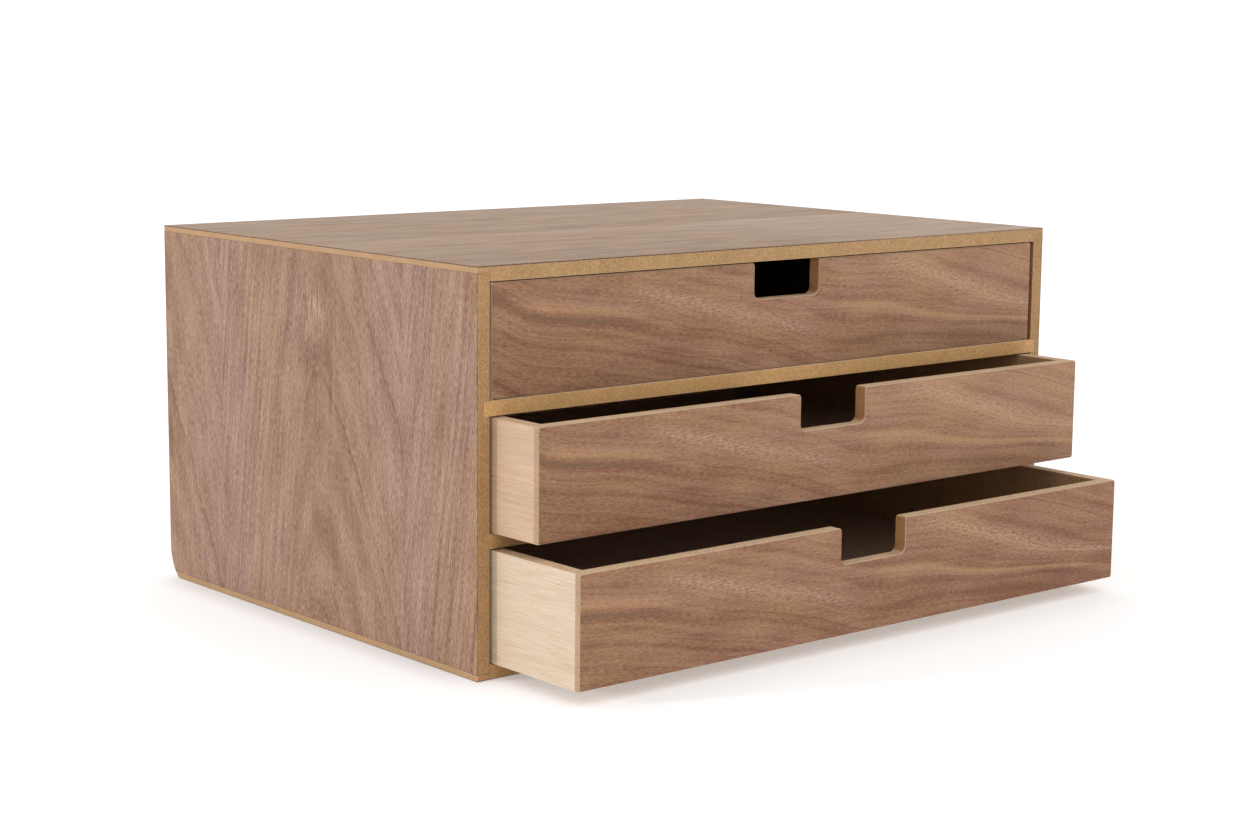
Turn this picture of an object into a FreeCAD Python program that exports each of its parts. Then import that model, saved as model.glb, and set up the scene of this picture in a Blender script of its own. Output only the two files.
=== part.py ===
import FreeCAD, Part
import os
import Sketcher

# A low box with three full-width drawers, made of veneered fibreboard and glued together.
# Lengths are millimetres. X runs left to right, Y front to back and Z up.
# The origin is the middle of the box's footprint, on the surface that the box stands on.

SIZES = {
    # The box
    "box_width": 486.0,
    "box_depth": 350.0,
    "bay_height": 68.0,  # clear height that each drawer runs in
    "board_thick": 9.0,  # every board, with its veneer
    "veneer_thick": 0.6,
    "back_thick": 4.0,
    "back_inset": 10.0,  # from the rear edges of the sides in to the back panel
    "heel_rise": 22.0,  # rounding at the foot of the rear edge, up the back
    "heel_run": 9.5,  # and in along the floor
    # Joints cut in the boards
    "rabbet_depth": 5.0,  # end rabbets of the boards that lap over other boards
    "dado_depth": 4.4,  # housings for the dividers
    "groove_depth": 4.0,  # grooves for the thin panels
    "panel_play": 0.5,  # room left at the bottom of those grooves
    # Room around the drawers
    "side_gap": 2.0,
    "top_gap": 0.9,
    "running_gap": 0.3,
    "front_recess": 1.0,  # a shut drawer stands this far behind the box's front
    "stop_gap": 0.5,  # left between a shut drawer and the back panel
    # The drawers
    "floor_thick": 3.0,
    "floor_lift": 6.0,  # from a drawer's lower edge up to its floor
    "notch_width": 56.0,
    "notch_depth": 22.8,
    "notch_radius": 5.0,
    "notch_ease": 1.6,  # rounding where the notch meets the upper edge
    "leaf_setback": 0.3,  # from a front's edge in to its sanded veneer
    "leaf_corner": 1.8,
    "arris": 0.4,  # rounding of a front's edges
    "middle_open": 43.2,  # how far the drawers are pulled out
    "bottom_open": 80.4,
}

# The shelves between the bays, each with the number of bays below it
DIVIDERS = [("upper_divider", 2), ("lower_divider", 1)]
BAY_COUNT = len(DIVIDERS) + 1

# Sizes worked out from those, as expressions that the document keeps live
BOARD = "sizes.board_thick"
VENEER = "sizes.veneer_thick"
CORE = f"({BOARD} - {VENEER})"
LAP = f"({BOARD} - sizes.rabbet_depth)"
TONGUE = f"({BOARD} - sizes.groove_depth + sizes.panel_play)"
BAY_PITCH = f"(sizes.bay_height + {BOARD})"
BOX_HEIGHT = f"({BAY_COUNT} * {BAY_PITCH} + {BOARD})"
BOX_LEFT = "(0 - sizes.box_width / 2)"
BOX_FRONT = "(0 - sizes.box_depth / 2)"
SIDE_HEIGHT = f"({BOX_HEIGHT} - 2 * {LAP})"
BACK_FACE = "(sizes.box_depth - sizes.back_inset - sizes.back_thick)"
BACK_REAR = "(sizes.box_depth - sizes.back_inset)"
FLOOR_TOP = "(sizes.floor_lift + sizes.floor_thick)"
DRAWER_WIDTH = f"(sizes.box_width - 2 * {BOARD} - 2 * sizes.side_gap)"
DRAWER_HEIGHT = "(sizes.bay_height - sizes.top_gap - sizes.running_gap)"
DRAWER_LENGTH = f"({BACK_FACE} - sizes.front_recess - sizes.stop_gap)"
DRAWER_SIDE_LENGTH = f"({DRAWER_LENGTH} - 2 * {LAP})"

# Each drawer's name, how far it is pulled out and the number of bays below it
DRAWERS = [
    ("top_drawer", "0", 2),
    ("middle_drawer", "sizes.middle_open", 1),
    ("bottom_drawer", "sizes.bottom_open", 0),
]

SAME_DIRECTION = 1e-6  # how closely two directions of length one have to agree

doc = FreeCAD.newDocument("drawer_box")
sheet = doc.addObject("Spreadsheet::Sheet", "sizes")
for row, (alias, millimetres) in enumerate(SIZES.items(), start=1):
    sheet.set(f"A{row}", str(millimetres))
    sheet.setAlias(f"A{row}", alias)
doc.recompute()

boards = []


def new_board(label, x, y, z):
    """Adds a board whose own corner stands at x, y, z."""
    body = doc.addObject("PartDesign::Body", label)
    body.Label = label
    for axis, place in zip("xyz", (x, y, z)):
        body.setExpression(f"Placement.Base.{axis}", place)
    boards.append(body)
    return body


def new_sketch(body, plane_role, offset="0"):
    """Lays a sketch on one of the board's own planes, moved along the plane's normal."""
    sketch = body.newObject("Sketcher::SketchObject", f"{body.Label}_sketch")
    plane = next(p for p in body.Origin.OriginFeatures if p.Role == plane_role)
    sketch.AttachmentSupport = [(plane, "")]
    sketch.MapMode = "FlatFace"
    sketch.setExpression("AttachmentOffset.Base.z", offset)
    return sketch


def bind(sketch, constraint, expression):
    """Adds a constraint whose value follows the sheet."""
    number = sketch.addConstraint(constraint)
    sketch.setExpression(f"Constraints[{number}]", expression)


def corner_points(corners):
    """Gives the corners of an outline as points, at the sizes the sheet holds now."""
    return [FreeCAD.Vector(sheet.evalExpression(x), sheet.evalExpression(y), 0) for x, y, radius in corners]


def add_outline(sketch, corners):
    """Draws a closed outline of level and upright lines, with its corners given anticlockwise.

    Each corner is an x, a y and a radius, as expressions. A radius of None leaves it sharp.
    """
    points = corner_points(corners)
    count = len(corners)
    radii = [sheet.evalExpression(radius) if radius else 0 for x, y, radius in corners]
    lines = []
    for i in range(count):
        j = (i + 1) % count
        along = (points[j] - points[i]).normalize()
        start = points[i] + along * radii[i]
        end = points[j] - along * radii[j]
        lines.append(sketch.addGeometry(Part.LineSegment(start, end)))
    for i in range(count):
        x, y, radius = corners[i]
        next_x = corners[(i + 1) % count][0]
        if x == next_x:
            sketch.addConstraint(Sketcher.Constraint("Vertical", lines[i]))
            bind(sketch, Sketcher.Constraint("DistanceX", -1, 1, lines[i], 1, points[i].x), x)
        else:
            sketch.addConstraint(Sketcher.Constraint("Horizontal", lines[i]))
            bind(sketch, Sketcher.Constraint("DistanceY", -1, 1, lines[i], 1, points[i].y), y)
        before = lines[i - 1]
        if radius is None:
            sketch.addConstraint(Sketcher.Constraint("Coincident", before, 2, lines[i], 1))
        else:
            round_corner(sketch, before, lines[i], points[i], radii[i], radius)


def round_corner(sketch, before, after, corner, radius, expression):
    """Joins two lines of an outline with an arc that touches both."""
    start = sketch.getPoint(before, 2)
    end = sketch.getPoint(after, 1)
    centre = start + end - corner
    middle = centre + (corner - centre).normalize() * radius
    arc = sketch.addGeometry(Part.Arc(start, middle, end))
    first, last = 1, 2
    if sketch.getPoint(arc, 1).distanceToPoint(start) > sketch.getPoint(arc, 2).distanceToPoint(start):
        first, last = 2, 1
    sketch.addConstraint(Sketcher.Constraint("Tangent", before, 2, arc, first))
    sketch.addConstraint(Sketcher.Constraint("Tangent", arc, last, after, 1))
    bind(sketch, Sketcher.Constraint("Radius", arc, radius), expression)


def add_rectangle(sketch, left, low, right, high):
    add_outline(sketch, [(left, low, None), (right, low, None), (right, high, None), (left, high, None)])


def pad(body, sketch, thickness, backwards=False):
    feature = body.newObject("PartDesign::Pad", f"{body.Label}_pad")
    feature.Profile = sketch
    feature.setExpression("Length", thickness)
    feature.Reversed = backwards
    doc.recompute()
    return feature


def pocket(body, sketch, depth, backwards=False):
    """Cuts the sketch into the board. A depth of None cuts right through."""
    volume = body.Shape.Volume
    feature = body.newObject("PartDesign::Pocket", f"{body.Label}_pocket")
    feature.Profile = sketch
    feature.Reversed = backwards
    if depth is None:
        feature.Type = "ThroughAll"
    else:
        feature.setExpression("Length", depth)
    doc.recompute()
    if not body.Shape.Volume < volume:
        raise RuntimeError(f"{feature.Label} cuts nothing")


def round_face_edges(body, base, normal, radius):
    """Rounds all edges of the outermost flat face that looks along normal."""
    looks = FreeCAD.Vector(*normal)
    flat = [
        (face.CenterOfMass.dot(looks), number)
        for number, face in enumerate(base.Shape.Faces, start=1)
        if face.normalAt(0, 0).isEqual(looks, SAME_DIRECTION)
    ]
    feature = body.newObject("PartDesign::Fillet", f"{body.Label}_arris")
    feature.Base = (base, [f"Face{max(flat)[1]}"])
    feature.setExpression("Radius", radius)
    doc.recompute()


def cut_heel(body, right_face, lift):
    """Rounds the foot of the rear edge, cutting in from the board's right-hand face.

    lift is the board's own height above the floor.
    """
    sketch = new_sketch(body, "YZ_Plane", right_face)
    rear = sheet.evalExpression("sizes.box_depth")
    floor = -sheet.evalExpression(lift)
    run = sheet.evalExpression("sizes.heel_run")
    rise = sheet.evalExpression("sizes.heel_rise")
    radius = (rise * rise + run * run) / (2 * run)
    toe = FreeCAD.Vector(rear - run, floor, 0)
    corner = FreeCAD.Vector(rear, floor, 0)
    top = FreeCAD.Vector(rear, floor + rise, 0)
    centre = FreeCAD.Vector(rear - radius, floor + rise, 0)
    middle = centre + (corner - centre).normalize() * radius
    level = sketch.addGeometry(Part.LineSegment(toe, corner))
    upright = sketch.addGeometry(Part.LineSegment(corner, top))
    arc = sketch.addGeometry(Part.Arc(toe, middle, top))
    sketch.addConstraint(Sketcher.Constraint("Horizontal", level))
    sketch.addConstraint(Sketcher.Constraint("Vertical", upright))
    sketch.addConstraint(Sketcher.Constraint("Coincident", level, 2, upright, 1))
    sketch.addConstraint(Sketcher.Constraint("Coincident", level, 1, arc, 1))
    sketch.addConstraint(Sketcher.Constraint("Tangent", upright, 2, arc, 2))
    bind(sketch, Sketcher.Constraint("DistanceX", -1, 1, level, 2, rear), "sizes.box_depth")
    bind(sketch, Sketcher.Constraint("DistanceY", -1, 1, level, 2, floor), f"0 - {lift}")
    bind(sketch, Sketcher.Constraint("DistanceX", level, 1, level, 2, run), "sizes.heel_run")
    bind(sketch, Sketcher.Constraint("DistanceY", upright, 1, upright, 2, rise), "sizes.heel_rise")
    pocket(body, sketch, None)


def bay_floor(bays_up):
    """Height of the surface that a drawer runs on."""
    return f"({BOARD} + {bays_up} * {BAY_PITCH})"


def make_box_side(name, is_left):
    """A side of the box: its board, with housings and a groove inside, and the veneer outside."""
    outer = BOX_LEFT if is_left else f"(0 - {BOX_LEFT})"
    core_face = f"({outer} + {VENEER})" if is_left else f"({outer} - {VENEER})"
    inner_face = CORE if is_left else f"(0 - {CORE})"

    panel = new_board(f"{name}_panel", core_face, BOX_FRONT, LAP)
    outline = new_sketch(panel, "YZ_Plane")
    add_rectangle(outline, "0", "0", "sizes.box_depth", SIDE_HEIGHT)
    pad(panel, outline, CORE, not is_left)

    housings = new_sketch(panel, "YZ_Plane", inner_face)
    for name_of_divider, bays_up in DIVIDERS:
        high = f"({bay_floor(bays_up)} - {LAP})"
        add_rectangle(housings, "0", f"({high} - {BOARD})", BACK_FACE, high)
    pocket(panel, housings, "sizes.dado_depth", not is_left)

    groove = new_sketch(panel, "YZ_Plane", inner_face)
    add_rectangle(groove, BACK_FACE, "0", BACK_REAR, SIDE_HEIGHT)
    pocket(panel, groove, "sizes.groove_depth", not is_left)
    cut_heel(panel, inner_face if is_left else "0", LAP)

    leaf = new_board(f"{name}_veneer", outer, BOX_FRONT, LAP)
    leaf_outline = new_sketch(leaf, "YZ_Plane")
    add_rectangle(leaf_outline, "0", "0", "sizes.box_depth", SIDE_HEIGHT)
    pad(leaf, leaf_outline, VENEER, not is_left)
    cut_heel(leaf, VENEER if is_left else "0", LAP)


def cut_lapped_board(board, inner_face, backwards):
    """Cuts a top or bottom panel's end rabbets and its groove for the back, from its inner face."""
    right_end = f"(sizes.box_width - {BOARD})"
    ends = new_sketch(board, "XY_Plane", inner_face)
    add_rectangle(ends, "0", "0", BOARD, "sizes.box_depth")
    add_rectangle(ends, right_end, "0", "sizes.box_width", "sizes.box_depth")
    pocket(board, ends, "sizes.rabbet_depth", backwards)
    groove = new_sketch(board, "XY_Plane", inner_face)
    add_rectangle(groove, BOARD, BACK_FACE, right_end, BACK_REAR)
    pocket(board, groove, "sizes.groove_depth", backwards)


def make_top():
    panel = new_board("top_panel", BOX_LEFT, BOX_FRONT, f"({BOX_HEIGHT} - {BOARD})")
    outline = new_sketch(panel, "XY_Plane")
    add_rectangle(outline, "0", "0", "sizes.box_width", "sizes.box_depth")
    pad(panel, outline, CORE)
    cut_lapped_board(panel, "0", True)

    leaf = new_board("top_veneer", BOX_LEFT, BOX_FRONT, f"({BOX_HEIGHT} - {VENEER})")
    leaf_outline = new_sketch(leaf, "XY_Plane")
    add_rectangle(leaf_outline, "0", "0", "sizes.box_width", "sizes.box_depth")
    pad(leaf, leaf_outline, VENEER)


def make_bottom():
    panel = new_board("bottom_panel", BOX_LEFT, BOX_FRONT, "0")
    outline = new_sketch(panel, "XY_Plane")
    add_rectangle(outline, "0", "0", "sizes.box_width", "sizes.box_depth")
    pad(panel, outline, BOARD)
    cut_lapped_board(panel, BOARD, False)
    cut_heel(panel, "sizes.box_width", "0")


def make_divider(name, bays_up):
    """A shelf between two bays, housed in the sides and reaching back to the back panel."""
    reach = f"({BOARD} - sizes.dado_depth)"
    divider = new_board(name, f"({BOX_LEFT} + {reach})", BOX_FRONT, f"({bay_floor(bays_up)} - {BOARD})")
    outline = new_sketch(divider, "XY_Plane")
    add_rectangle(outline, "0", "0", f"(sizes.box_width - 2 * {reach})", BACK_FACE)
    pad(divider, outline, BOARD)


def make_back():
    """The thin panel that stands in grooves all round and stops the drawers."""
    panel = new_board("back_panel", f"({BOX_LEFT} + {TONGUE})", f"({BOX_FRONT} + {BACK_FACE})", TONGUE)
    outline = new_sketch(panel, "XZ_Plane")
    add_rectangle(outline, "0", "0", f"(sizes.box_width - 2 * {TONGUE})", f"({BOX_HEIGHT} - 2 * {TONGUE})")
    pad(panel, outline, "sizes.back_thick", True)


def notched_outline(inset, corner):
    """Corners of a drawer front with its finger notch, drawn in by inset all round."""
    right = f"({DRAWER_WIDTH} - {inset})"
    high = f"({DRAWER_HEIGHT} - {inset})"
    notch_left = f"(({DRAWER_WIDTH} - sizes.notch_width) / 2 - {inset})"
    notch_right = f"(({DRAWER_WIDTH} + sizes.notch_width) / 2 + {inset})"
    notch_low = f"({DRAWER_HEIGHT} - sizes.notch_depth - {inset})"
    return [
        (inset, inset, corner),
        (right, inset, corner),
        (right, high, corner),
        (notch_right, high, "sizes.notch_ease"),
        (notch_right, notch_low, "sizes.notch_radius"),
        (notch_left, notch_low, "sizes.notch_radius"),
        (notch_left, high, "sizes.notch_ease"),
        (inset, high, corner),
    ]


def cut_drawer_end(board, inner_face, backwards):
    """Cuts the rabbets that take the drawer's sides, and the groove for its floor."""
    right_end = f"({DRAWER_WIDTH} - {BOARD})"
    ends = new_sketch(board, "XZ_Plane", inner_face)
    add_rectangle(ends, "0", "0", BOARD, DRAWER_HEIGHT)
    add_rectangle(ends, right_end, "0", DRAWER_WIDTH, DRAWER_HEIGHT)
    pocket(board, ends, "sizes.rabbet_depth", backwards)
    groove = new_sketch(board, "XZ_Plane", inner_face)
    add_rectangle(groove, BOARD, "sizes.floor_lift", right_end, FLOOR_TOP)
    pocket(board, groove, "sizes.groove_depth", backwards)


def make_drawer_side(name, is_left, front, low):
    """A side of a drawer: its board, grooved for the floor, and the pale veneer outside."""
    outer = f"(0 - {DRAWER_WIDTH} / 2)" if is_left else f"({DRAWER_WIDTH} / 2)"
    core_face = f"({outer} + {VENEER})" if is_left else f"({outer} - {VENEER})"
    inner_face = CORE if is_left else f"(0 - {CORE})"
    start = f"({front} + {LAP})"

    side = new_board(name, core_face, start, low)
    outline = new_sketch(side, "YZ_Plane")
    add_rectangle(outline, "0", "0", DRAWER_SIDE_LENGTH, DRAWER_HEIGHT)
    pad(side, outline, CORE, not is_left)
    groove = new_sketch(side, "YZ_Plane", inner_face)
    add_rectangle(groove, "0", "sizes.floor_lift", DRAWER_SIDE_LENGTH, FLOOR_TOP)
    pocket(side, groove, "sizes.groove_depth", not is_left)

    leaf = new_board(f"{name}_veneer", outer, start, low)
    leaf_outline = new_sketch(leaf, "YZ_Plane")
    add_rectangle(leaf_outline, "0", "0", DRAWER_SIDE_LENGTH, DRAWER_HEIGHT)
    pad(leaf, leaf_outline, VENEER, not is_left)


def make_drawer(name, pulled_out, bays_up):
    left = f"(0 - {DRAWER_WIDTH} / 2)"
    front = f"({BOX_FRONT} + sizes.front_recess - {pulled_out})"
    low = f"({bay_floor(bays_up)} + sizes.running_gap)"

    core = new_board(f"{name}_front", left, f"({front} + {VENEER})", low)
    outline = new_sketch(core, "XZ_Plane")
    add_outline(outline, notched_outline("0", None))
    slab = pad(core, outline, CORE, True)
    round_face_edges(core, slab, (0, -1, 0), "sizes.arris")
    cut_drawer_end(core, f"0 - {CORE}", True)

    leaf = new_board(f"{name}_front_veneer", left, front, low)
    leaf_outline = new_sketch(leaf, "XZ_Plane")
    add_outline(leaf_outline, notched_outline("sizes.leaf_setback", "sizes.leaf_corner"))
    leaf_slab = pad(leaf, leaf_outline, VENEER, True)
    round_face_edges(leaf, leaf_slab, (0, -1, 0), "sizes.arris")

    make_drawer_side(f"{name}_left_side", True, front, low)
    make_drawer_side(f"{name}_right_side", False, front, low)

    back = new_board(f"{name}_back", left, f"({front} + {DRAWER_LENGTH} - {BOARD})", low)
    back_outline = new_sketch(back, "XZ_Plane")
    add_rectangle(back_outline, "0", "0", DRAWER_WIDTH, DRAWER_HEIGHT)
    pad(back, back_outline, BOARD, True)
    cut_drawer_end(back, "0", False)

    floor_low = f"({low} + sizes.floor_lift)"
    floor_width = f"({DRAWER_WIDTH} - 2 * {TONGUE})"
    floor_length = f"({DRAWER_LENGTH} - 2 * {TONGUE})"
    floor = new_board(f"{name}_floor", f"({left} + {TONGUE})", f"({front} + {TONGUE})", floor_low)
    floor_outline = new_sketch(floor, "XY_Plane")
    add_rectangle(floor_outline, "0", "0", floor_width, floor_length)
    pad(floor, floor_outline, "sizes.floor_thick")


make_box_side("left_side", True)
make_box_side("right_side", False)
make_top()
make_bottom()
for divider in DIVIDERS:
    make_divider(*divider)
make_back()
for drawer in DRAWERS:
    make_drawer(*drawer)
doc.recompute()

for item in doc.Objects:
    if "Invalid" in item.State or "Error" in item.State:
        raise RuntimeError(f"{item.Label} failed: {item.State}")
for board in boards:
    if board.Shape.isNull() or not board.Shape.isValid() or len(board.Shape.Solids) != 1:
        raise RuntimeError(f"{board.Label} is not one sound solid")

os.makedirs("parts", exist_ok=True)
for board in boards:
    board.Shape.exportStep(f"parts/{board.Label}.step")
    print(f"{board.Label}: {board.Shape.Volume:.0f} cubic millimetres")
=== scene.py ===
# %% [markdown]
# # A desk box with three drawers
# The real object is a low box of thin fibreboard with walnut leaves glued to its top, its sides and
# its drawer fronts. The boards arrive here as finished solids, cut to size with their joints, so this
# lesson is about what comes after the saw: eased edges, veneer, board edges, light and a camera.
# The solids could be rebuilt in Blender, but then they might drift from the true sizes. They are
# loaded as a fixed frame instead, and everything below is added to them.

import math
from collections import namedtuple

import bpy
from mathutils import Matrix, Vector


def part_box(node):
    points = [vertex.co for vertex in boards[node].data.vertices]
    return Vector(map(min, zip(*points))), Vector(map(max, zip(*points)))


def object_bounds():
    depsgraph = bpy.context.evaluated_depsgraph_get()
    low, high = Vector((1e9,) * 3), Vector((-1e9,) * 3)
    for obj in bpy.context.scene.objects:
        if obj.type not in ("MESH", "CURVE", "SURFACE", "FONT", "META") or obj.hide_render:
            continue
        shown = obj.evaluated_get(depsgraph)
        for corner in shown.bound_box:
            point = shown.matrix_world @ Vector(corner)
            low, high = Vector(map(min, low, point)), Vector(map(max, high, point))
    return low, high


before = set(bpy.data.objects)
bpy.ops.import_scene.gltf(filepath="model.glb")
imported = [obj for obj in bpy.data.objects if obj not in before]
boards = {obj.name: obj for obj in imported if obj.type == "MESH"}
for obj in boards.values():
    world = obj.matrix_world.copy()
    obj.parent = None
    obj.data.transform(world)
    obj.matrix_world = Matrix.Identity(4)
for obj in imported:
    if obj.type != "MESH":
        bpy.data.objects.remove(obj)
cad_low, cad_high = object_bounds()

# %% [markdown]
# ## The camera
# The picture is taken from the left of the box and a little above it, with a long lens, so that
# upright edges stay nearly parallel. A camera can be aimed with a constraint at an empty, but a view
# that was measured is easier to repeat as three plain turns: round the box, down towards it, and the
# slight lean of the camera on its tripod.

# %% Stand the camera
PICTURE_WIDTH = 1248
FOCAL_LENGTH_IN_PIXELS = 2385.7
SENSOR_WIDTH = 36.0
CAMERA_PLACE = (-1.04011, -1.24410, 0.36897)
ROUND_THE_BOX = math.radians(-40.278)
LEVEL = math.radians(90)
LOOKING_DOWN = math.radians(9.076)
LEAN = math.radians(0.529)

scene = bpy.context.scene
camera_data = bpy.data.cameras.new("portrait_camera")
camera_data.sensor_width = SENSOR_WIDTH
camera_data.lens = SENSOR_WIDTH * FOCAL_LENGTH_IN_PIXELS / PICTURE_WIDTH
camera = bpy.data.objects.new("portrait_camera", camera_data)
turn = Matrix.Rotation(ROUND_THE_BOX, 4, "Z")
tip = Matrix.Rotation(LEVEL - LOOKING_DOWN, 4, "X")
lean = Matrix.Rotation(LEAN, 4, "Z")
camera.matrix_world = Matrix.Translation(CAMERA_PLACE) @ turn @ tip @ lean
scene.collection.objects.link(camera)
scene.camera = camera
print("lens", round(camera_data.lens, 2), "mm, camera at", camera.location)

# %% [markdown]
# ## A small bench of node helpers
# Every finish here is drawn by nodes, with no picture files: wood is a formula of where a point lies.
# Node trees are usually wired by hand in the editor. Wired in code they get long, so a few helpers
# stand for the steps that repeat. The first ones start a material, plug a value in, do a sum, grade a
# value and read where a point lies. The place is read as Object coordinates, which stay glued to a
# board when its drawer is pulled out, and turned to millimetres, in which a pore is easier to imagine.

# %% Start a material and plug values in
def new_material(name):
    """A material whose node tree holds only a Principled shader and the output."""
    material = bpy.data.materials.new(name)
    material.use_nodes = True
    return material, material.node_tree, material.node_tree.nodes["Principled BSDF"]


def plug(tree, value, socket):
    """Links another node's output to the socket, or sets the socket to a plain value."""
    if isinstance(value, bpy.types.NodeSocket):
        tree.links.new(value, socket)
    else:
        socket.default_value = value


print("bench has", new_material.__name__, "and", plug.__name__)

# %% Do sums with the place of a point
MILLIMETRES = 1000.0
GRADE_SOCKETS = ("From Min", "From Max", "To Min", "To Max")


def sums(tree, operation, *values):
    """One Math node, and its result."""
    step = tree.nodes.new("ShaderNodeMath")
    step.operation = operation
    for value, socket in zip(values, step.inputs):
        plug(tree, value, socket)
    return step.outputs["Value"]


def grade(tree, value, low, high, start=0.0, end=1.0):
    """Runs smoothly from start to end as the value runs from low to high."""
    step = tree.nodes.new("ShaderNodeMapRange")
    step.interpolation_type = "SMOOTHSTEP"
    for name, number in zip(GRADE_SOCKETS, (low, high, start, end)):
        plug(tree, number, step.inputs[name])
    plug(tree, value, step.inputs["Value"])
    return step.outputs["Result"]


def place_in_millimetres(tree):
    """Where a point of the board lies, as x, y and z in millimetres."""
    spot = tree.nodes.new("ShaderNodeTexCoord")
    apart = tree.nodes.new("ShaderNodeSeparateXYZ")
    tree.links.new(spot.outputs["Object"], apart.inputs["Vector"])
    return [sums(tree, "MULTIPLY", axis, MILLIMETRES) for axis in apart.outputs]


print("one metre counts as", MILLIMETRES, "in the finishes")

# %% [markdown]
# ## Floor and light
# The box was photographed on white, under broad soft light. The faces that look left are the
# brightest, and the edge of the box throws a narrow shadow on the pulled-out drawers, so the main
# light stands to the left and slightly behind. Area lamps would leave a bright pool on the floor.
# A sun and an even white sky light the whole floor alike. The floor also glows a little, like a light
# table, so that it burns out to paper white except where the box stands on it. Close beside the left
# side the glow is turned down by place, which paints the thin shadow with which the box stands on the
# floor.

# %% Lay the floor
FLOOR_REACH = 30.0
FLOOR_DROP = 0.0001

floor_mesh = bpy.data.meshes.new("floor")
corners = [(x, y, 0.0) for x, y in ((-1, -1), (1, -1), (1, 1), (-1, 1))]
floor_mesh.from_pydata([Vector(corner) * FLOOR_REACH for corner in corners], [], [(0, 1, 2, 3)])
floor = bpy.data.objects.new("floor", floor_mesh)
floor.location.z = -FLOOR_DROP
scene.collection.objects.link(floor)
print("floor of", 2 * FLOOR_REACH, "m")

# %% Whiten the floor
PAPER = (0.85, 0.85, 0.85, 1.0)
WHITE = (1.0, 1.0, 1.0, 1.0)
PAPER_ROUGHNESS = 0.9
PAPER_SHINE = 0.1
FLOOR_GLOW = 0.27
# Where the glow is turned down for a painted shadow: by how much, how far out, how far to front and back,
# and under the box
PAINTED_SHADOW_DEPTH = 0.75
PAINTED_SHADOW_REACH = 25.0
PAINTED_SHADOW_LENGTH = (120.0, 220.0)
PAINTED_SHADOW_UNDER = -6.0

paper_white, tree, paper_shader = new_material("paper_white")
paper_shader.inputs["Base Color"].default_value = PAPER
paper_shader.inputs["Roughness"].default_value = PAPER_ROUGHNESS
paper_shader.inputs["Specular IOR Level"].default_value = PAPER_SHINE
paper_shader.inputs["Emission Color"].default_value = WHITE
x, y, z = place_in_millimetres(tree)
beside = sums(tree, "SUBTRACT", cad_low.x * MILLIMETRES, x)
level_with = grade(tree, sums(tree, "ABSOLUTE", y), *PAINTED_SHADOW_LENGTH, 1.0, 0.0)
outside = sums(tree, "MULTIPLY", grade(tree, beside, PAINTED_SHADOW_UNDER, 0.0), level_with)
# The turned-down glow is a painted shadow, fixed to the floor beside the box's left side
painted_shadow = sums(tree, "MULTIPLY", grade(tree, beside, 0.0, PAINTED_SHADOW_REACH, PAINTED_SHADOW_DEPTH, 0.0), outside)
glow = sums(tree, "MULTIPLY_ADD", painted_shadow, -FLOOR_GLOW, FLOOR_GLOW)
plug(tree, glow, paper_shader.inputs["Emission Strength"])
floor_mesh.materials.append(paper_white)
print("floor glows with", FLOOR_GLOW, "and dims over", PAINTED_SHADOW_REACH, "mm")

# %% Hang the lights
SKY_STRENGTH = 1.02
SUN_STRENGTH = 1.05
SUN_WIDTH = math.radians(6)
SUN_HEIGHT = math.radians(15)
SUN_TOWARDS_BACK = math.radians(22)

scene.view_settings.view_transform = "Standard"
world = bpy.data.worlds.new("white_room")
world.use_nodes = True
sky = world.node_tree.nodes["Background"]
sky.inputs["Color"].default_value = WHITE
sky.inputs["Strength"].default_value = SKY_STRENGTH
scene.world = world

sun_data = bpy.data.lights.new("wide_window", "SUN")
sun_data.energy = SUN_STRENGTH
sun_data.angle = SUN_WIDTH
sun = bpy.data.objects.new("wide_window", sun_data)
towards_sun = Vector((
    -math.cos(SUN_TOWARDS_BACK) * math.cos(SUN_HEIGHT),
    math.sin(SUN_TOWARDS_BACK) * math.cos(SUN_HEIGHT),
    math.sin(SUN_HEIGHT),
))
sun.rotation_euler = towards_sun.to_track_quat("Z", "Y").to_euler()
scene.collection.objects.link(sun)
print("sun from", towards_sun)

# %% [markdown]
# ## Eased edges
# No saw leaves an edge that stays knife sharp: each board is rubbed over with fine paper, and where two
# boards meet, the two rubbed edges leave a hairline groove. The edges could be cut into the meshes, but
# modifiers leave the solids as they came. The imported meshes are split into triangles, so a bevel
# straight away would round the wrong edges. Four modifiers do it in order: weld the split corners,
# dissolve the flat triangles into whole faces, bevel the sharp edges, and weld once more, because a
# bevel leaves slivers in some corners. On the boards the bevel puts its new faces in the second
# material, for the colour of a rubbed edge. A leaf has one material only.

# %% Ease every board
EASED = 0.00025
OPEN_EASED = 0.0004
LEAF_EASED = 0.00012
FRONT_LEAF_EASED = 0.00022
SAME_CORNER = 0.000001
FLAT = math.radians(0.1)
SHARP = math.radians(40)
ROUNDING_STEPS = 2
SLIVER = 0.000002
# The slot for the rubbed edges' colour, pale with a painted highlight
RUBBED_SLOT = 1


def ease(board, width):
    """Rounds the sharp edges of a board over that width, and returns the bevel."""
    weld = board.modifiers.new("join_corners", "WELD")
    weld.merge_threshold = SAME_CORNER
    whole = board.modifiers.new("whole_faces", "DECIMATE")
    whole.decimate_type = "DISSOLVE"
    whole.angle_limit = FLAT
    rub = board.modifiers.new("rubbed_edges", "BEVEL")
    rub.width = width
    rub.segments = ROUNDING_STEPS
    rub.limit_method = "ANGLE"
    rub.angle_limit = SHARP
    close = board.modifiers.new("close_slivers", "WELD")
    close.merge_threshold = SLIVER
    return rub


for name, board in boards.items():
    if name.endswith("front_veneer"):
        ease(board, FRONT_LEAF_EASED)
    elif name.endswith("veneer"):
        ease(board, LEAF_EASED)
    else:
        ease(board, OPEN_EASED if name == "bottom_panel" else EASED).material = RUBBED_SLOT
print("eased", len(boards), "boards")

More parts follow.
